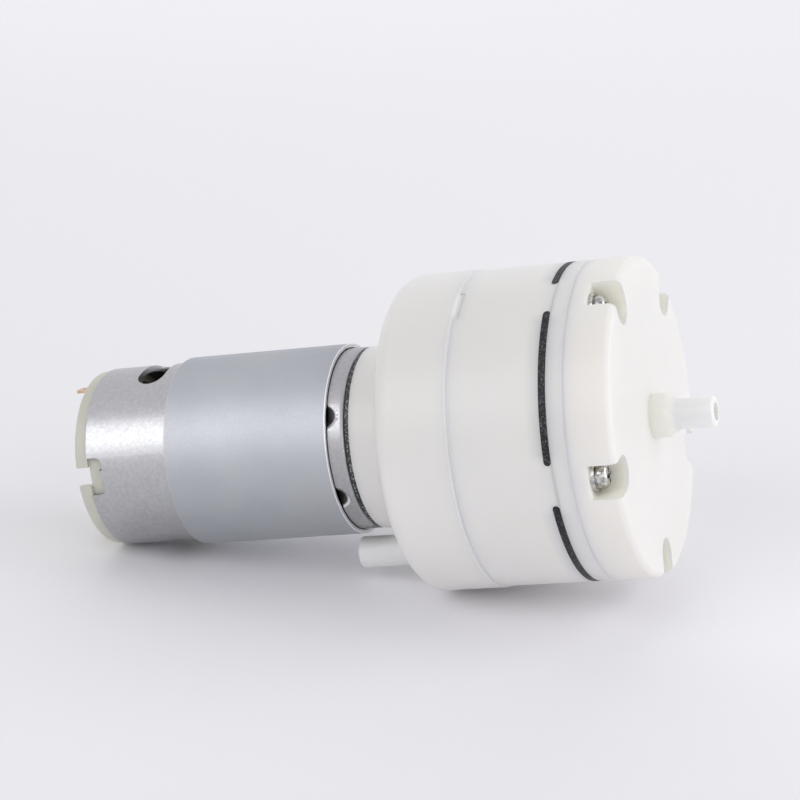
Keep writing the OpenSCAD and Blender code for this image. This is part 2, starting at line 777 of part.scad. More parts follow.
module piston() {
    bar(piston_bottom, piston_top, piston_d / 2);
    bar(arm_top, piston_bottom + 0.1, stem_r);
    bar(arm_bottom - 0.1, arm_top + 0.1, stem_neck_r);
    cone(arm_bottom - stem_bead_h, arm_bottom, stem_neck_r * 0.7, stem_bead_r);
}

// The rear drum, the neck and the rear port in one moulding
module crankcase() {
    cavity_back = crank_back + drum_wall;
    cavity_r = head_r - drum_wall;
    color([0.93, 0.93, 0.90]) difference() {
        union() {
            rounded_bar(crank_back, chamber_back, head_r + drum_step, drum_edge_r, seam_round);
            bar(neck_back, crank_back + drum_wall, neck_d / 2);
            polar(0, rear_port_r) rounded_bar(crank_back - rear_port_len, crank_back + drum_wall,
                rear_port_d / 2, port_edge_r, 0);
            key(0);
        }
        difference() {
            bar(cavity_back, chamber_back + over + key_h, cavity_r);
            around() intersection() {
                polar(0, screw_circle_r) bar(cavity_back - over, chamber_back + key_h + 2 * over, boss_r);
                bar(cavity_back - over, chamber_back + key_h + 2 * over, head_r - 1);
            }
        }
        bar(neck_seat, cavity_back + over, neck_bore / 2);
        bar(neck_back - over, neck_seat + over, boss_d / 2 + seat_gap);
        motor_turn() around(90, 2) polar(0, motor_screw_r)
            bar(neck_back - over, neck_seat + over, screw_d / 2 + screw_gap);
        polar(0, rear_port_r) bar(crank_back - rear_port_len - over, cavity_back + over, port_bore / 2);
        screw_holes(screw_seat - screw_len - over, chamber_back + over + key_h, screw_d / 2 + seat_gap);
    }
}

// The locating key on the crankcase's rim, and its notch when a gap is given
module key(gap) {
    inner = head_r - drum_wall + (gap > 0 ? -over : 0.3);
    outer = head_r + (gap > 0 ? 2 * over : -0.1);
    rotate([0, 0, key_angle]) intersection() {
        translate([inner - 2, -key_w / 2 - gap, chamber_back - 0.01])
            cube([outer - inner + 2, key_w + 2 * gap, key_h + gap]);
        tube(chamber_back - over, chamber_back + key_h + over, outer, inner);
    }
}

// The front drum: a deck with the chamber bores, over the space for the wobble plate
module chamber_body() {
    cavity_r = head_r - drum_wall;
    color([0.94, 0.94, 0.92]) difference() {
        bar(chamber_back, plate_back, head_r);
        difference() {
            bar(flange_back, plate_back + over, head_r + over);
            around() intersection() {
                tube(flange_back - over, plate_back + 2 * over, head_r + 2 * over, land_inner);
                wedge(flange_back - over, plate_back + 2 * over, head_r + 2 * over, land_angle);
            }
        }
        difference() {
            bar(chamber_back - over, deck_back, cavity_r);
            around() intersection() {
                polar(0, screw_circle_r) bar(chamber_back - 2 * over, deck_back + over, boss_r);
                bar(chamber_back - 2 * over, deck_back + over, head_r - 1);
            }
        }
        around(cup_angle) polar(0, cup_circle_r) bar(deck_back - over, flange_back + over, cup_bore / 2);
        around() land_rounding();
        transfer_holes(deck_back - over, plate_back + over);
        bar(flange_back - 2.4, flange_back + over, outlet_stem_d / 2 + 1.2);
        screw_holes(chamber_back - over, plate_back + over, screw_d / 2 + screw_gap);
        key(0.1);
    }
}

// The round ends of the rubber arcs, cut out of the lands beside the screws
module land_rounding() {
    for (side = [-1, 1]) rotate([0, 0, side * land_angle / 2])
        translate([land_inner - over / 2, 0, flange_back + flange_t / 2]) rotate([0, 90, 0])
            rotate([0, 0, 45]) cylinder(r=flange_end_r, h=head_r - land_inner + 1.5 * over);
}

// The clamped rim of the black rubber diaphragm
module diaphragm_flange() {
    color([0.10, 0.10, 0.11]) difference() {
        union() {
            difference() {
                bar(flange_back, plate_back, head_r);
                around() intersection() {
                    tube(flange_back - over, plate_back + over, head_r + over, land_inner);
                    wedge(flange_back - over, plate_back + over, head_r + over, land_angle);
                }
            }
            around() for (side = [-1, 1]) rotate([0, 0, side * land_angle / 2]) intersection() {
                translate([land_inner + 0.2, 0, flange_back + flange_t / 2])
                    rotate([0, 90, 0]) cylinder(r=flange_end_r, h=head_r - land_inner);
                bar(flange_back, plate_back, head_r);
            }
        }
        around(cup_angle) polar(0, cup_circle_r)
            bar(flange_back - over, plate_back + over, cup_bore / 2 - seat_gap - cup_wall);
        transfer_holes(flange_back - over, plate_back + over);
        bar(flange_back - over, plate_back + over, outlet_stem_d / 2 + 1);
    }
}

// The rubber cups below the flange, each with a thin membrane round its piston
module cup_walls() {
    outer = cup_bore / 2 - seat_gap;
    cup_floor = flange_back - cup_depth;
    color([0.13, 0.13, 0.14]) difference() {
        around(cup_angle) polar(0, cup_circle_r) difference() {
            bar(cup_floor, flange_back, outer);
            bar(cup_floor + membrane_t, flange_back + over, outer - cup_wall);
        }
        wobbling() around(cup_angle) polar(0, cup_circle_r)
            bar(piston_bottom - over, piston_top + over, piston_d / 2 + 0.05);
    }
}

// The plate between the diaphragm and the cover, with the seats of both kinds of valve
module valve_plate() {
    hole_ring = 1.9;
    color([0.93, 0.94, 0.92]) difference() {
        bar(plate_back, cover_back, head_r);
        around(cup_angle) polar(0, inlet_valve_r) {
            bar(plate_back - over, plate_back + valve_recess, inlet_valve_d / 2 + 0.3);
            bar(plate_back - over, cover_back + over, stem_pass_r);
            around(45, 4) polar(0, hole_ring) bar(plate_back - over, cover_back + over, inlet_hole_d / 2);
        }
        around(cup_angle) for (side = [-1, 0, 1])
            polar(side * outlet_spread, outlet_hole_r) bar(plate_back - over, cover_back + over, outlet_hole_d / 2);
        bar(plate_back - over, cover_back + over, outlet_stem_d / 2 + seat_gap);
        transfer_holes(plate_back - over, cover_back + over);
        screw_holes(plate_back - over, cover_back + over, screw_d / 2 + screw_gap);
    }
}

// An umbrella valve: a thin rim on a stem that is pulled through the plate
module umbrella(rim_z, away, rim_d, stem_d, grip, bead_h) {
    rim_end = rim_z + away * valve_t;
    bead_z = rim_z - away * grip;
    bar(min(rim_z, rim_end), max(rim_z, rim_end), rim_d / 2);
    bar(min(rim_end, bead_z - away * bead_h), max(rim_end, bead_z - away * bead_h), stem_d / 2);
    if (away > 0) cone(bead_z - bead_h, bead_z, stem_d / 2, stem_d / 2 + 0.4);
    else cone(bead_z, bead_z + bead_h, stem_d / 2 + 0.4, stem_d / 2);
}

module inlet_valves() {
    color([0.14, 0.14, 0.15]) around(cup_angle) polar(0, inlet_valve_r)
        umbrella(plate_back + valve_recess, -1, inlet_valve_d, inlet_stem_d, valve_plate_len - valve_recess, 1);
}

module outlet_valve() {
    color([0.14, 0.14, 0.15]) umbrella(cover_back, 1, outlet_valve_d, outlet_stem_d, valve_plate_len, 1.6);
}

module seal_ring(r) tube(cover_back, cover_back + seal_w, r + seal_w / 2, r - seal_w / 2);

module inner_seal() color([0.12, 0.12, 0.13]) seal_ring(inner_seal_r);

module outer_seal() color([0.12, 0.12, 0.13]) seal_ring(outer_seal_r);

// The head cover with its two air spaces, screw pockets and front port
module head_cover() {
    space_front = face_z - cover_wall;
    tip_front = face_z + collar_len + shoulder_len + tip_len;
    color([0.94, 0.95, 0.94]) difference() {
        union() {
            rounded_bar(cover_back, face_z, head_r, 0, cover_edge_r);
            bar(face_z - over, face_z + collar_len, collar_d / 2);
            cone(face_z + collar_len, face_z + collar_len + shoulder_len, collar_d / 2, tip_d / 2);
            rounded_bar(face_z + collar_len, tip_front, tip_d / 2, 0, port_edge_r);
        }
        bar(cover_back - over, space_front, inner_space_r);
        difference() {
            tube(cover_back - over, space_front, outer_space_r1, outer_space_r0);
            around() polar(0, screw_circle_r)
                bar(cover_back - 2 * over, space_front + over, pocket_w / 2 + pocket_wall);
        }
        seal_ring(inner_seal_r);
        seal_ring(outer_seal_r);
        around() pocket();
        screw_holes(cover_back - over, face_z, screw_d / 2 + screw_gap);
        bar(space_front - over, tip_front + over, port_bore / 2);
    }
}

// A U-shaped pocket that is open at the cover's rim
module pocket() {
    polar(0, screw_circle_r) bar(pocket_z, face_z + over, pocket_w / 2);
    translate([screw_circle_r, -pocket_w / 2, pocket_z]) cube([head_r, pocket_w, pocket_depth + over]);
}

module screw_washers() {
    color([0.80, 0.80, 0.80]) around() polar(0, screw_circle_r)
        tube(pocket_z, screw_seat, washer_d / 2, screw_d / 2 + 0.1);
}

// Cheese-head screws with a cross recess
module head_screws() {
    color([0.78, 0.78, 0.78]) around() polar(0, screw_circle_r) difference() {
        union() {
            bar(screw_seat - screw_len, screw_seat, screw_d / 2);
            rounded_bar(screw_seat, screw_seat + screw_head_h, screw_head_d / 2, 0, screw_head_h / 2);
        }
        cross(screw_seat + screw_head_h, 3, 0.7, 1.2);
    }
}

on_shaft_axis() motor_can();
on_shaft_axis() flux_ring();
on_shaft_axis() magnets();
on_shaft_axis() magnet_clips();
on_shaft_axis() end_cap();
on_shaft_axis() terminals();
on_shaft_axis() brush_arms();
on_shaft_axis() carbon_brushes();
on_shaft_axis() front_bush();
on_shaft_axis() rear_bush();
on_shaft_axis() motor_gasket();
on_shaft_axis() motor_screws();
on_shaft_axis() shaft();
on_shaft_axis() armature_core();
on_shaft_axis() windings();
on_shaft_axis() commutator_hub();
on_shaft_axis() commutator_bars();
on_shaft_axis() shaft_spacers();
on_shaft_axis() eccentric();
on_shaft_axis() grub_screw();
on_shaft_axis() drive_pin();
on_shaft_axis() pin_bush();
on_shaft_axis() wobble_plate();
on_shaft_axis() diaphragm_pistons();
on_shaft_axis() crankcase();
on_shaft_axis() chamber_body();
on_shaft_axis() diaphragm_flange();
on_shaft_axis() cup_walls();
on_shaft_axis() valve_plate();
on_shaft_axis() inlet_valves();
on_shaft_axis() outlet_valve();
on_shaft_axis() inner_seal();
on_shaft_axis() outer_seal();
on_shaft_axis() head_cover();
on_shaft_axis() screw_washers();
on_shaft_axis() head_screws();
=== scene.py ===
"""The looks of the micro vacuum pump: finishes, floor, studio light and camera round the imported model."""

import math

import bpy
from mathutils import Matrix, Vector


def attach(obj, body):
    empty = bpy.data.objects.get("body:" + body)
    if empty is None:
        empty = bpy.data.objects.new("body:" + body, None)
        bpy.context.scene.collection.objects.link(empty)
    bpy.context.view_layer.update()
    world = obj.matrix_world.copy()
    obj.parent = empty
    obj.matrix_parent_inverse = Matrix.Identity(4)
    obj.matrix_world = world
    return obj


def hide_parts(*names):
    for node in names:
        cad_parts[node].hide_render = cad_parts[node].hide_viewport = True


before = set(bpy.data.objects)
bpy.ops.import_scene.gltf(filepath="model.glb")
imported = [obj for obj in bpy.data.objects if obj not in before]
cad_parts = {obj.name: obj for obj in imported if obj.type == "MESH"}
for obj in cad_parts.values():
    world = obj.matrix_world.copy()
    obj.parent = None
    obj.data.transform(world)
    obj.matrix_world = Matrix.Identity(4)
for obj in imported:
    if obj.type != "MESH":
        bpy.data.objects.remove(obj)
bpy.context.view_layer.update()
MM = 0.001

# ---- Camera at the photograph's viewing angle ----
CAMERA_PLACE = (211.1, -516.2, 35.8)  # in millimetres
CAMERA_RIGHT = (0.9385, 0.3306, -0.0989)
CAMERA_BACK = (0.3367, -0.9401, 0.0526)
camera_data = bpy.data.cameras.new("photo_camera")
camera_data.lens = 125.7
camera_data.sensor_width = 36
camera_data.clip_start = 0.01
camera_data.clip_end = 20
camera = bpy.data.objects.new("photo_camera", camera_data)
bpy.context.scene.collection.objects.link(camera)
back = Vector(CAMERA_BACK).normalized()
up = back.cross(Vector(CAMERA_RIGHT).normalized()).normalized()
right = up.cross(back)
camera_rows = [(right[axis], up[axis], back[axis], CAMERA_PLACE[axis] * MM) for axis in range(3)]
camera.matrix_world = Matrix(camera_rows + [(0, 0, 0, 1)])
bpy.context.scene.camera = camera
bpy.context.scene.view_settings.view_transform = "Standard"


# ---- Small tools for material nodes ----
def add(tree, kind, **settings):
    made = tree.nodes.new(kind)
    for key, value in settings.items():
        setattr(made, key, value)
    return made


def give(node, values):
    """Sets a node's own numbers and colours by the names of its sockets."""
    for label, value in values.items():
        node.inputs[label].default_value = value


def calc(tree, operation, *values):
    """A Math node on sockets and plain numbers."""
    made = add(tree, "ShaderNodeMath", operation=operation)
    for place, value in enumerate(values):
        if isinstance(value, (int, float)):
            made.inputs[place].default_value = value
        else:
            tree.links.new(value, made.inputs[place])
    return made.outputs[0]


def ramp(tree, value, start, stop, low=0.0, high=1.0, **settings):
    """The value, mapped from start and stop to low and high, and held there beyond them."""
    made = add(tree, "ShaderNodeMapRange", **settings)
    give(made, {"From Min": start, "From Max": stop, "To Min": low, "To Max": high})
    tree.links.new(value, made.inputs["Value"])
    return made.outputs["Result"]


def window(tree, value, low, high, soft):
    """1 where the value lies between low and high, with ends that fade out over the soft length."""
    return calc(tree, "MULTIPLY", ramp(tree, value, low - soft, low), ramp(tree, value, high + soft, high))


# ---- Surface effects that the materials share ----
FLOAT, COLOR = "NodeSocketFloat", "NodeSocketColor"
CLOUD_CONTRAST = (0.35, 0.65)
GRAIN_CONTRAST = (0.3, 0.7)


def new_group(name, inputs, outputs):
    tree = bpy.data.node_groups.new(name, "ShaderNodeTree")
    for label, kind, value in inputs:
        socket = tree.interface.new_socket(label, in_out="INPUT", socket_type=kind)
        socket.default_value = value
    for label, kind in outputs:
        tree.interface.new_socket(label, in_out="OUTPUT", socket_type=kind)
    return tree, tree.nodes.new("NodeGroupInput"), tree.nodes.new("NodeGroupOutput")


def place_group(tree, group, values=None):
    made = add(tree, "ShaderNodeGroup", node_tree=group)
    give(made, values or {})
    return made


def make_grain():
    """Fine random grain on the piece's own coordinates."""
    tree, given, out = new_group("fine_grain", [("Scale", FLOAT, 1500.0), ("Detail", FLOAT, 2.0)],
                                 [("Grain", FLOAT)])
    place = add(tree, "ShaderNodeTexCoord")
    noise = add(tree, "ShaderNodeTexNoise")
    tree.links.new(place.outputs["Object"], noise.inputs["Vector"])
    tree.links.new(given.outputs["Scale"], noise.inputs["Scale"])
    tree.links.new(given.outputs["Detail"], noise.inputs["Detail"])
    tree.links.new(noise.outputs["Fac"], out.inputs["Grain"])
    return tree


def make_clouds():
    """Two colours in slow cloudy patches."""
    tree, given, out = new_group(
        "cloudy_colour", [("Pale", COLOR, (1, 1, 1, 1)), ("Deep", COLOR, (0, 0, 0, 1)), ("Scale", FLOAT, 60.0)],
        [("Color", COLOR)])
    place = add(tree, "ShaderNodeTexCoord")
    noise = add(tree, "ShaderNodeTexNoise")
    give(noise, {"Detail": 3})
    mix = add(tree, "ShaderNodeMix", data_type="RGBA")
    tree.links.new(place.outputs["Object"], noise.inputs["Vector"])
    tree.links.new(given.outputs["Scale"], noise.inputs["Scale"])
    tree.links.new(ramp(tree, noise.outputs["Fac"], *CLOUD_CONTRAST), mix.inputs["Factor"])
    tree.links.new(given.outputs["Pale"], mix.inputs["A"])
    tree.links.new(given.outputs["Deep"], mix.inputs["B"])
    tree.links.new(mix.outputs["Result"], out.inputs["Color"])
    return tree


def make_shaft_place():
    """Station along the shaft and radius from it in millimetres, and the angle round it in degrees from below."""
    tree, _, out = new_group("shaft_place", [], [("Station", FLOAT), ("Radius", FLOAT), ("Angle", FLOAT)])
    place = add(tree, "ShaderNodeTexCoord")
    split = add(tree, "ShaderNodeSeparateXYZ")
    tree.links.new(place.outputs["Object"], split.inputs[0])
    x, y, z = split.outputs
    square = calc(tree, "ADD", calc(tree, "MULTIPLY", y, y), calc(tree, "MULTIPLY", z, z))
    turn = calc(tree, "ARCTAN2", y, calc(tree, "MULTIPLY", z, -1.0))
    tree.links.new(calc(tree, "MULTIPLY", x, 1 / MM), out.inputs["Station"])
    tree.links.new(calc(tree, "MULTIPLY", calc(tree, "SQRT", square), 1 / MM), out.inputs["Radius"])
    tree.links.new(calc(tree, "MULTIPLY", turn, math.degrees(1)), out.inputs["Angle"])
    return tree


GRAIN, CLOUDS, SHAFT_PLACE = make_grain(), make_clouds(), make_shaft_place()

# Places on the pump where the colour changes, by a finish or by painted light and shade. Each has one or two spans
# of (from, to, softness) in millimetres: Station counts from the middle of the flux ring towards the head, Radius
# from the shaft's axis, and Screw from the axis of the nearest head screw.
SPOTS = {
    "pressed_dents": {"Station": (12.0, 19.3, 0.05), "Radius": (12.0, 17.52, 0.14)},
    "ring_edge_shadow": {"Station": (15.0, 17.1, 0.08)},
    "can_in_front_of_ring": {"Station": (17.1, 21.0, 0.2)},
    "dent_flanks": {"Station": (17.2, 19.35, 0.1), "Radius": (17.64, 17.84, 0.05)},
    "can_beside_gasket": {"Station": (20.55, 20.9, 0.3)},
    "can_inner_wall": {"Radius": (0.0, 16.75, 0.05)},
    "ring_rear_rim": {"Station": (-18.0, -16.9, 0.06)},
    "ring_front_rim": {"Station": (16.82, 18.0, 0.06)},
    "rear_port": {"Station": (10.0, 29.0, 1.0), "Radius": (19.0, 26.0, 0.4)},
    "drum_seam": {"Station": (45.45, 45.95, 0.25)},
    "beside_rubber": {"Station": (63.2, 65.1, 2.4), "Screw": (7.0, 60.0, 1.2)},
    "cover_seam": {"Station": (67.95, 68.5, 0.3)},
    "cover_side": {"Station": (68.6, 76.3, 0.4)},
    "screw_pockets": {"Station": (71.0, 76.2, 0.8), "Screw": (-1.0, 4.6, 0.5)},
    "nozzle_collar": {"Station": (77.6, 81.0, 1.0), "Radius": (-1.0, 4.5, 0.4)},
    "nozzle_tip": {"Station": (82.0, 92.0, 1.0), "Radius": (-1.0, 4.5, 0.4)},
}
HEAD_SCREWS = 5
SCREW_PITCH = 360.0 / HEAD_SCREWS
SCREW_CIRCLE = 26.8
FULL_TURNS_ADDED = 2 * 360.0  # keeps the angle above 0


def screw_distance(tree, place):
    """Distance in millimetres from the axis of the nearest head screw."""
    turned = calc(tree, "ADD", place.outputs["Angle"], SCREW_PITCH / 2 + FULL_TURNS_ADDED)
    off_screw = calc(tree, "SUBTRACT", calc(tree, "MODULO", turned, SCREW_PITCH), SCREW_PITCH / 2)
    off_screw = calc(tree, "MULTIPLY", off_screw, math.radians(1))
    along_radius = calc(tree, "MULTIPLY", place.outputs["Radius"], calc(tree, "COSINE", off_screw))
    outward = calc(tree, "SUBTRACT", along_radius, SCREW_CIRCLE)
    side = calc(tree, "MULTIPLY", place.outputs["Radius"], calc(tree, "SINE", off_screw))
    square = calc(tree, "ADD", calc(tree, "MULTIPLY", outward, outward), calc(tree, "MULTIPLY", side, side))
    return calc(tree, "SQRT", square)


def spot(tree, place, name):
    """A mask that is 1 on the named place of the pump."""
    masks = []
    for measure, span in SPOTS[name].items():
        value = screw_distance(tree, place) if measure == "Screw" else place.outputs[measure]
        masks.append(window(tree, value, *span))
    return calc(tree, "MULTIPLY", *masks) if len(masks) > 1 else masks[0]


def speck_mask(tree, scale, low, high):
    """Scattered small specks: 1 where fine noise is above high, and 0 where it is below low."""
    grain = place_group(tree, GRAIN, {"Scale": scale, "Detail": 0.0})
    return ramp(tree, grain.outputs["Grain"], low, high)


def repaint(tree, shader, mask, colour, share=1.0):
    """Turns a share of the shader's colour to another one where the mask is 1."""
    before = shader.inputs["Base Color"].links[0].from_socket
    mix = add(tree, "ShaderNodeMix", data_type="RGBA")
    give(mix, {"B": (*colour, 1)})
    tree.links.new(calc(tree, "MULTIPLY", mask, share), mix.inputs["Factor"])
    tree.links.new(before, mix.inputs["A"])
    tree.links.new(mix.outputs["Result"], shader.inputs["Base Color"])


# ---- Finishes ----
def finish_of(name, pale, deep, clouds, rough, grain, relief, depth, metallic=0.0):
    """A material with cloudy colour, and grain in its roughness and relief.

    clouds and grain say how fine each is, per metre, relief how strong it is, and depth how deep, in millimetres.
    """
    made = bpy.data.materials.new(name)
    made.use_nodes = True
    tree = made.node_tree
    shader = tree.nodes["Principled BSDF"]
    give(shader, {"Metallic": metallic})
    colour = place_group(tree, CLOUDS, {"Pale": (*pale, 1), "Deep": (*deep, 1), "Scale": clouds})
    grains = place_group(tree, GRAIN, {"Scale": grain}).outputs["Grain"]
    bump = add(tree, "ShaderNodeBump")
    give(bump, {"Strength": relief, "Distance": depth * MM})
    tree.links.new(colour.outputs["Color"], shader.inputs["Base Color"])
    tree.links.new(ramp(tree, grains, *GRAIN_CONTRAST, *rough), shader.inputs["Roughness"])
    tree.links.new(grains, bump.inputs["Height"])
    tree.links.new(bump.outputs["Normal"], shader.inputs["Normal"])
    return made, tree, shader


def plain(name, **values):
    return finish_of(name, **values)[0]


def bright_can_steel():
    """Bright zinc with a coarse crystal grain.

    Painted shadow, nearly black, lies in the pressed dents and along the flux ring's front edge; the can is painted
    darker in front of the ring; the dents' flanks carry a painted highlight; and painted shade darkens the can
    beside the gasket and on its inner wall.
    """
    made, tree, shader = finish_of(
        "bright_zinc", pale=(0.525, 0.528, 0.538), deep=(0.465, 0.469, 0.479), clouds=1300.0, rough=(0.27, 0.40),
        grain=2600.0, relief=0.42, depth=0.013, metallic=1.0)
    place = place_group(tree, SHAFT_PLACE)
    # Painted shadow, nearly black, in the deep cores of the pressed dents and along the flux ring's front edge.
    shadow_at_ring = calc(tree, "MULTIPLY", spot(tree, place, "ring_edge_shadow"), 0.92)
    painted_shadow_mask = calc(tree, "MAXIMUM", spot(tree, place, "pressed_dents"), shadow_at_ring)
    repaint(tree, shader, painted_shadow_mask, (0.022, 0.022, 0.025))
    # The can is painted darker in front of the ring.
    repaint(tree, shader, spot(tree, place, "can_in_front_of_ring"), (0.30, 0.30, 0.305), share=0.3)
    # Painted highlight on the dents' flanks.
    repaint(tree, shader, spot(tree, place, "dent_flanks"), (0.95, 0.95, 0.96), share=0.85)
    # Painted shade on the can beside the gasket and on its inner wall.
    beside_gasket = calc(tree, "MULTIPLY", spot(tree, place, "can_beside_gasket"), 0.5)
    shaded = calc(tree, "MAXIMUM", beside_gasket, spot(tree, place, "can_inner_wall"))
    repaint(tree, shader, shaded, (0.16, 0.16, 0.165), share=0.6)
    return made


def ring_steel():
    """Satin blue-grey zinc, with a painted highlight along the ring's front rim and a fainter one along its rear
    rim.
    """
    made, tree, shader = finish_of(
        "satin_blue_zinc", pale=(0.509, 0.524, 0.545), deep=(0.474, 0.489, 0.515), clouds=55.0, rough=(0.52, 0.61),
        grain=2600.0, relief=0.3, depth=0.008, metallic=1.0)
    place = place_group(tree, SHAFT_PLACE)
    # Painted highlight along the ring's front rim, fainter along its rear rim.
    rear_rim = calc(tree, "MULTIPLY", spot(tree, place, "ring_rear_rim"), 0.3)
    rims = calc(tree, "MAXIMUM", spot(tree, place, "ring_front_rim"), rear_rim)
    repaint(tree, shader, rims, (0.93, 0.93, 0.94), share=0.9)
    return made


def speckled_board():
    """Black board with pale fibres in it."""
    made, tree, shader = finish_of(
        "speckled_gasket", pale=(0.02, 0.02, 0.02), deep=(0.035, 0.035, 0.035), clouds=900.0, rough=(0.55, 0.75),
        grain=2500.0, relief=0.6, depth=0.06)
    repaint(tree, shader, speck_mask(tree, 3400.0, 0.58, 0.62), (0.30, 0.30, 0.295))
    return made


def diaphragm_rubber():
    """Matt black rubber with a few dusty specks."""
    made, tree, shader = finish_of(
        "black_rubber", pale=(0.020, 0.020, 0.023), deep=(0.010, 0.010, 0.012), clouds=350.0, rough=(0.42, 0.6),
        grain=1900.0, relief=0.5, depth=0.05)
    give(shader, {"Specular IOR Level": 0.3})
    repaint(tree, shader, speck_mask(tree, 3600.0, 0.62, 0.68), (0.12, 0.12, 0.125))
    return made


def banded(name, pale, deep, pitch, rough, metallic, depth):
    """Ridges across the shaft, as on stacked sheets or wound wire; pitch and depth are in millimetres."""
    made, tree, shader = finish_of(name, pale, deep, clouds=300.0, rough=rough, grain=2600.0, relief=0.4, depth=0.02,
                                   metallic=metallic)
    place = place_group(tree, SHAFT_PLACE)
    turn = calc(tree, "MULTIPLY", place.outputs["Station"], 2 * math.pi / pitch)
    wave = calc(tree, "MULTIPLY_ADD", calc(tree, "SINE", turn), 0.5, 0.5)
    # Painted shade in dark bands, one to each ridge.
    repaint(tree, shader, wave, tuple(0.35 * part for part in deep), share=0.35)
    grained = shader.inputs["Normal"].links[0].from_socket
    ridge = add(tree, "ShaderNodeBump")
    give(ridge, {"Strength": 0.6, "Distance": depth * MM})
    tree.links.new(wave, ridge.inputs["Height"])
    tree.links.new(grained, ridge.inputs["Normal"])
    tree.links.new(ridge.outputs["Normal"], shader.inputs["Normal"])
    return made


def milky_nylon():
    """White moulded nylon that light goes a few millimetres into.

    Painted light lifts the shade in the screw pockets, round the nozzle's collar, on the rear port and in the seams,
    which are painted paler and warmer; the nozzle's tip is painted paler as painted light; the cover's side is
    painted paler and warmer as painted light through its thin wall; and the nylon is painted greyer beside the
    rubber's gap.
    """
    made, tree, shader = finish_of(
        "milky_nylon", pale=(0.872, 0.85, 0.822), deep=(0.845, 0.825, 0.79), clouds=38.0, rough=(0.30, 0.40),
        grain=1400.0, relief=0.12, depth=0.02)
    give(shader, {"Subsurface Weight": 0.5, "Subsurface Radius": (1.0, 0.95, 0.75), "Subsurface Scale": 4.0 * MM,
                  "IOR": 1.5})
    place = place_group(tree, SHAFT_PLACE)
    pockets = calc(tree, "MAXIMUM", spot(tree, place, "screw_pockets"), spot(tree, place, "nozzle_collar"))
    seams = calc(tree, "MAXIMUM", spot(tree, place, "drum_seam"), spot(tree, place, "cover_seam"))
    # Painted light, paler and warmer, on the cover's side, as light through its thin wall.
    repaint(tree, shader, spot(tree, place, "cover_side"), (0.945, 0.905, 0.86), share=0.6)
    # Painted light, paler and warmer, lifts the shade in the screw pockets and round the nozzle's collar.
    repaint(tree, shader, pockets, (0.965, 0.94, 0.84), share=0.85)
    # Painted light on the nozzle's tip, paler.
    repaint(tree, shader, spot(tree, place, "nozzle_tip"), (0.98, 0.97, 0.945), share=0.9)
    # Painted light, paler, lifts the shade under the neck on the rear port.
    repaint(tree, shader, spot(tree, place, "rear_port"), (0.965, 0.955, 0.93), share=0.85)
    # The nylon is painted greyer beside the rubber's gap.
    repaint(tree, shader, spot(tree, place, "beside_rubber"), (0.50, 0.50, 0.53), share=0.36)
    # Painted light, paler, lifts the shade in the drum's and the cover's seams.
    repaint(tree, shader, seams, (0.98, 0.97, 0.96), share=0.85)
    return made


bright_zinc = bright_can_steel()
satin_zinc = ring_steel()
cap_plastic = plain("grey_green_cap", pale=(0.64, 0.625, 0.55), deep=(0.58, 0.575, 0.50), clouds=80.0,
                    rough=(0.42, 0.52), grain=2500.0, relief=0.2, depth=0.02)
brass = plain("brass_tab", pale=(0.78, 0.56, 0.38), deep=(0.62, 0.42, 0.28), clouds=300.0,
              rough=(0.22, 0.34), grain=3000.0, relief=0.2, depth=0.01, metallic=1.0)
copper = plain("bare_copper", pale=(0.72, 0.36, 0.20), deep=(0.60, 0.28, 0.15), clouds=300.0,
               rough=(0.3, 0.42), grain=3000.0, relief=0.2, depth=0.01, metallic=1.0)
wound_wire = banded("enamelled_wire", pale=(0.50, 0.20, 0.09), deep=(0.40, 0.15, 0.07), pitch=0.6,
                    rough=(0.25, 0.35), metallic=0.8, depth=0.12)
bronze = plain("sintered_bronze", pale=(0.46, 0.32, 0.18), deep=(0.36, 0.25, 0.14), clouds=900.0,
               rough=(0.45, 0.6), grain=5000.0, relief=0.4, depth=0.03, metallic=1.0)
ground_steel = plain("ground_steel", pale=(0.62, 0.63, 0.64), deep=(0.55, 0.56, 0.57), clouds=200.0,
                     rough=(0.2, 0.32), grain=4000.0, relief=0.2, depth=0.006, metallic=1.0)
# The dark patches in the screws' cloudy colour are painted reflections.
screw_steel = plain("polished_screw_steel", pale=(0.79, 0.78, 0.755), deep=(0.31, 0.30, 0.29), clouds=1100.0,
                    rough=(0.08, 0.22), grain=2100.0, relief=0.5, depth=0.03, metallic=1.0)
spring_steel = plain("spring_steel", pale=(0.45, 0.46, 0.48), deep=(0.38, 0.39, 0.41), clouds=200.0,
                     rough=(0.3, 0.4), grain=3000.0, relief=0.2, depth=0.008, metallic=1.0)
ferrite = plain("magnet_ferrite", pale=(0.10, 0.095, 0.095), deep=(0.07, 0.068, 0.068), clouds=400.0,
                rough=(0.6, 0.75), grain=3500.0, relief=0.5, depth=0.04)
stacked_sheet = banded("varnished_stack", pale=(0.24, 0.24, 0.26), deep=(0.17, 0.17, 0.19), pitch=0.5,
                       rough=(0.4, 0.5), metallic=0.7, depth=0.05)
carbon = plain("pressed_carbon", pale=(0.035, 0.034, 0.036), deep=(0.02, 0.02, 0.022), clouds=700.0,
               rough=(0.45, 0.6), grain=4500.0, relief=0.4, depth=0.03)
black_oxide = plain("black_oxide", pale=(0.03, 0.03, 0.032), deep=(0.02, 0.02, 0.022), clouds=300.0,
                    rough=(0.35, 0.45), grain=3500.0, relief=0.2, depth=0.01, metallic=0.6)
hub_plastic = plain("brown_moulding", pale=(0.10, 0.055, 0.04), deep=(0.075, 0.04, 0.03), clouds=200.0,
                    rough=(0.35, 0.45), grain=2500.0, relief=0.2, depth=0.02)
drive_nylon = plain("cream_drive_nylon", pale=(0.74, 0.70, 0.58), deep=(0.69, 0.64, 0.52), clouds=90.0,
                    rough=(0.4, 0.5), grain=2200.0, relief=0.2, depth=0.02)
black_rubber = diaphragm_rubber()
gasket_board = speckled_board()
nylon = milky_nylon()

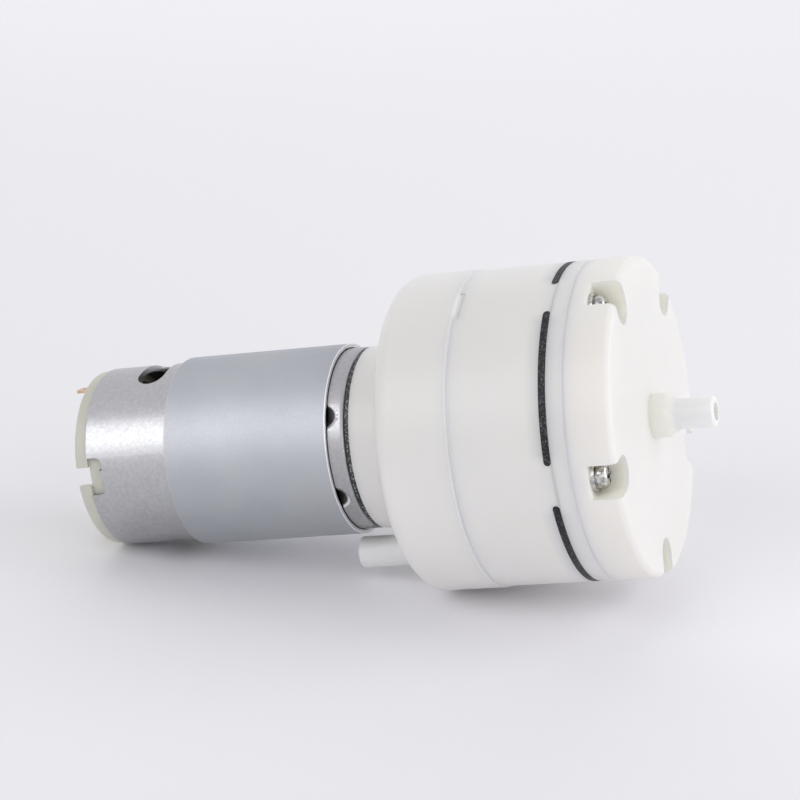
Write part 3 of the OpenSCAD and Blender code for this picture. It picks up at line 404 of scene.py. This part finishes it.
FINISHES = {
    bright_zinc: ["motor_can"],
    satin_zinc: ["flux_ring"],
    spring_steel: ["magnet_clips"],
    cap_plastic: ["end_cap"],
    brass: ["terminals"],
    copper: ["brush_arms", "commutator_bars"],
    wound_wire: ["windings"],
    bronze: ["front_bush", "rear_bush", "pin_bush"],
    ground_steel: ["shaft", "drive_pin", "eccentric"],
    screw_steel: ["motor_screws", "head_screws", "screw_washers"],
    ferrite: ["magnets"],
    stacked_sheet: ["armature_core"],
    carbon: ["carbon_brushes"],
    black_oxide: ["grub_screw"],
    hub_plastic: ["commutator_hub", "shaft_spacers"],
    drive_nylon: ["wobble_plate"],
    black_rubber: ["diaphragm_pistons", "diaphragm_flange", "cup_walls", "inlet_valves", "outlet_valve",
                   "inner_seal", "outer_seal"],
    gasket_board: ["motor_gasket"],
    nylon: ["crankcase", "chamber_body", "valve_plate", "head_cover"],
}
for finish, names in FINISHES.items():
    for name in names:
        for material_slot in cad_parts[name].material_slots:
            material_slot.material = finish

# ---- Pieces whose edges are eased, made over from the CAD's own shape ----
JOIN_WITHIN = 0.002  # millimetres
FLAT_WITHIN = 0.4  # degrees
SHARP_FROM = 30.0
SMOOTH_UP_TO = 35
ROUNDING_STEPS = 2
FLAT_FACE_WEIGHT = 80


def eased(node, edge):
    """A copy of a node with its loose triangles joined and its sharp edges rounded by edge millimetres."""
    piece = bpy.data.objects.new(node + "_eased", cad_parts[node].data.copy())
    bpy.context.scene.collection.objects.link(piece)
    bpy.ops.object.select_all(action="DESELECT")
    piece.select_set(True)
    bpy.context.view_layer.objects.active = piece
    bpy.ops.object.mode_set(mode="EDIT")
    bpy.ops.mesh.select_all(action="SELECT")
    bpy.ops.mesh.remove_doubles(threshold=JOIN_WITHIN * MM)
    bpy.ops.mesh.dissolve_limited(angle_limit=math.radians(FLAT_WITHIN))
    bpy.ops.object.mode_set(mode="OBJECT")
    rounding = piece.modifiers.new("eased_edges", "BEVEL")
    rounding.width = edge * MM
    rounding.segments = ROUNDING_STEPS
    rounding.limit_method = "ANGLE"
    rounding.angle_limit = math.radians(SHARP_FROM)
    bpy.ops.object.modifier_apply(modifier=rounding.name)
    bpy.ops.object.shade_smooth_by_angle(angle=math.radians(SMOOTH_UP_TO))
    weighing = piece.modifiers.new("flat_faces_stay_flat", "WEIGHTED_NORMAL")
    weighing.keep_sharp = True
    weighing.weight = FLAT_FACE_WEIGHT
    bpy.ops.object.modifier_apply(modifier=weighing.name)
    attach(piece, "root")
    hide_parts(node)


EASED = {
    "head_cover": ("white_nylon", 0.25),
    "motor_can": ("zinc_steel", 0.12),
    "end_cap": ("cap_plastic", 0.15),
    "head_screws": ("screw_steel", 0.12),
    "terminals": ("brass", 0.08),
    "flux_ring": ("flux_steel", 0.12),
}
for node, (slot, edge) in EASED.items():
    eased(node, edge)

# ---- Floor that the pump lies on, and the backdrop ----
FLOOR_COLOUR = (0.92, 0.913, 0.945)
BACKDROP_COLOUR = (0.863, 0.855, 0.896)
FLOOR_WIDTH = 6  # metres
FADE_FROM, FADE_TO = 0.42, 0.72  # metres from the pump
floor_up = Vector((0.1879, -0.2493, 0.9501)).normalized()
touch = Vector((-34.3, 4.54, -17.33)) * MM
bpy.ops.object.select_all(action="DESELECT")
bpy.ops.mesh.primitive_plane_add(size=FLOOR_WIDTH, location=touch,
                                 rotation=floor_up.to_track_quat("Z", "Y").to_euler())
floor = bpy.context.object
floor.name = "studio_floor"


def studio_floor_paint():
    """Pale matt floor, seen only from above, that fades into the backdrop well away from the pump."""
    made = bpy.data.materials.new("pale_floor")
    made.use_nodes = True
    tree = made.node_tree
    shader = tree.nodes["Principled BSDF"]
    give(shader, {"Base Color": (*FLOOR_COLOUR, 1), "Roughness": 0.9, "Specular IOR Level": 0.1})
    clear = add(tree, "ShaderNodeBsdfTransparent")
    side = add(tree, "ShaderNodeNewGeometry")
    place = add(tree, "ShaderNodeTexCoord")
    away = add(tree, "ShaderNodeVectorMath", operation="LENGTH")
    tree.links.new(place.outputs["Object"], away.inputs[0])
    fade = ramp(tree, away.outputs["Value"], FADE_FROM, FADE_TO, interpolation_type="SMOOTHSTEP")
    mix = add(tree, "ShaderNodeMixShader")
    tree.links.new(calc(tree, "MAXIMUM", side.outputs["Backfacing"], fade), mix.inputs[0])
    tree.links.new(shader.outputs[0], mix.inputs[1])
    tree.links.new(clear.outputs[0], mix.inputs[2])
    tree.links.new(mix.outputs[0], tree.nodes["Material Output"].inputs["Surface"])
    return made


floor.data.materials.append(studio_floor_paint())

# ---- Studio light: the backdrop shows to the camera and in the metal, and a soft fill lights the rest ----
FILL_COLOUR = (0.96, 0.97, 1.0)
FILL_STRENGTH = 0.42
world = bpy.data.worlds.new("studio")
bpy.context.scene.world = world
world.use_nodes = True
sky = world.node_tree
backdrop = add(sky, "ShaderNodeBackground")
give(backdrop, {"Color": (*BACKDROP_COLOUR, 1)})
fill = sky.nodes["Background"]
give(fill, {"Color": (*FILL_COLOUR, 1), "Strength": FILL_STRENGTH})
ray = add(sky, "ShaderNodeLightPath")
mirrored = calc(sky, "MAXIMUM", ray.outputs["Is Glossy Ray"], ray.outputs["Is Transmission Ray"])
choose = add(sky, "ShaderNodeMixShader")
sky.links.new(calc(sky, "MAXIMUM", ray.outputs["Is Camera Ray"], mirrored), choose.inputs[0])
sky.links.new(fill.outputs[0], choose.inputs[1])
sky.links.new(backdrop.outputs[0], choose.inputs[2])
sky.links.new(choose.outputs[0], sky.nodes["World Output"].inputs["Surface"])

# Lamps: place by the camera's right, up and back, and width and height, in millimetres, then watts, and whether the
# lamp itself shows in the metal.
SOFTBOXES = {
    "top_box": ((0, 1000, 0), (1200, 1000), 1.8, False),
    "right_box": ((900, 300, 250), (700, 900), 3.8, True),
    "left_box": ((-690, 390, 760), (900, 640), 2.8, True),
    "front_box": ((500, 100, 900), (700, 700), 1.7, True),
    "rear_box": ((-100, 700, -800), (1400, 500), 3.1, False),
    "low_left_box": ((-900, 50, 300), (500, 600), 0.3, True),
}
middle = Vector((26, 0, 0)) * MM


def softbox(name, by_camera, size, watts, in_metal):
    """A rectangular lamp aimed at the middle of the pump."""
    data = bpy.data.lights.new(name, "AREA")
    data.shape = "RECTANGLE"
    data.size, data.size_y = size[0] * MM, size[1] * MM
    data.energy = watts
    lamp = bpy.data.objects.new(name, data)
    bpy.context.scene.collection.objects.link(lamp)
    place = middle + (right * by_camera[0] + up * by_camera[1] + back * by_camera[2]) * MM
    lamp.matrix_world = Matrix.Translation(place) @ (place - middle).to_track_quat("Z", "Y").to_matrix().to_4x4()
    lamp.visible_glossy = in_metal


for name, values in SOFTBOXES.items():
    softbox(name, *values)
